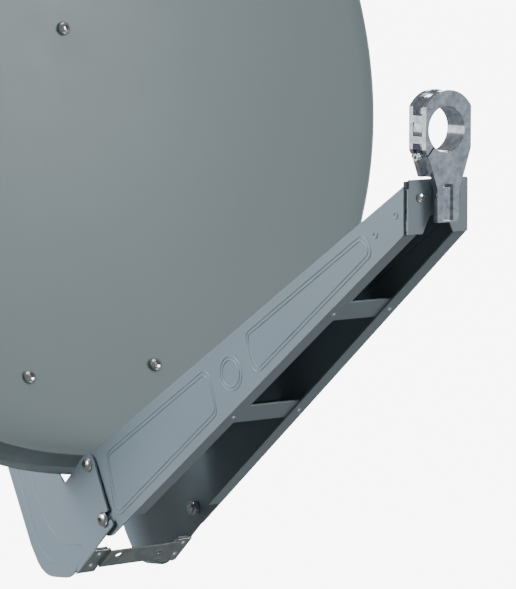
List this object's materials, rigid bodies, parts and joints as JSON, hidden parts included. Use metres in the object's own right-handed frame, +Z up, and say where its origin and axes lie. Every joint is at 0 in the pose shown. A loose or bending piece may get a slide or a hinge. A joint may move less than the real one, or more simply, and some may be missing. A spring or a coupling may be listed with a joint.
{
  "type": "offset satellite dish",
  "caption": "Offset satellite dish: round reflector on a tilting sheet carrier, folding feed arm with a split ring for the receiver head, and a clamp for a vertical mast.",
  "frame": {"origin": "centre of the mast clamp, on the mast's axis", "axes": "+Z up along the mast, -Y the way the dish looks, +X to the right of somebody who looks along +Y"},
  "size_m": [0.8416, 0.8383, 0.9496],
  "materials": {
    "reflector_paint": "matte",
    "carrier_paint": "satin",
    "arm_paint": "satin",
    "galvanised_sheet": "satin",
    "stainless_screws": "satin",
    "zinc_fasteners": "satin",
    "rivet_metal": "satin",
    "cast_holder": "polished",
    "bush_plastic": "matte",
    "plug_plastic": "matte"
  },
  "bodies": {
    "mast_mount": {"mast_bracket": "galvanised_sheet", "clamp_bolts": "zinc_fasteners", "tilt_pivot_bolts": "zinc_fasteners", "tilt_lock_bolts": "zinc_fasteners", "tilt_washers": "zinc_fasteners", "tilt_nuts": "zinc_fasteners"},
    "jaw_upper": {"clamp_jaw_upper": "galvanised_sheet", "clamp_washers_upper": "zinc_fasteners", "clamp_nuts_upper": "zinc_fasteners"},
    "jaw_lower": {"clamp_jaw_lower": "galvanised_sheet", "clamp_washers_lower": "zinc_fasteners", "clamp_nuts_lower": "zinc_fasteners"},
    "dish_head": {"reflector": "reflector_paint", "reflector_screws": "stainless_screws", "reflector_bushes": "bush_plastic", "reflector_nuts": "zinc_fasteners", "cheek_left": "carrier_paint", "cheek_right": "carrier_paint", "bottom_cross_plate": "galvanised_sheet", "bottom_cross_rivets": "rivet_metal", "upper_cross_plate": "carrier_paint", "upper_cross_rivets": "rivet_metal", "fold_pivot_bolts": "stainless_screws", "fold_pivot_nuts": "zinc_fasteners"},
    "feed_arm": {"arm_side_left": "arm_paint", "arm_side_right": "arm_paint", "arm_web": "arm_paint", "arm_brace_front": "arm_paint", "arm_brace_rear": "arm_paint", "arm_rivets": "rivet_metal", "lock_bolts": "stainless_screws", "lock_spacers": "zinc_fasteners", "lock_nuts": "zinc_fasteners", "tip_bracket": "arm_paint", "tip_bracket_screws": "stainless_screws", "feed_holder": "cast_holder", "holder_screw": "stainless_screws", "clamp_screw": "stainless_screws", "edge_plug": "plug_plastic"}
  },
  "joints": [
    {"name": "elevation_tilt", "type": "hinge", "parent": "mast_mount", "child": "dish_head", "pos_m": [0, -0.095, 0], "axis": [-1, 0, 0], "range_deg": [-20, 20]},
    {"name": "feed_arm_fold", "type": "hinge", "parent": "dish_head", "child": "feed_arm", "pos_m": [0, -0.3, -0.15], "axis": [-1, 0, 0], "range_deg": [0, 65]},
    {"name": "upper_jaw_slide", "type": "slide", "parent": "mast_mount", "child": "jaw_upper", "axis": [0, 1, 0], "range_m": [-0.014, 0.022]},
    {"name": "lower_jaw_slide", "type": "slide", "parent": "mast_mount", "child": "jaw_lower", "axis": [0, 1, 0], "range_m": [-0.014, 0.022]}
  ]
}
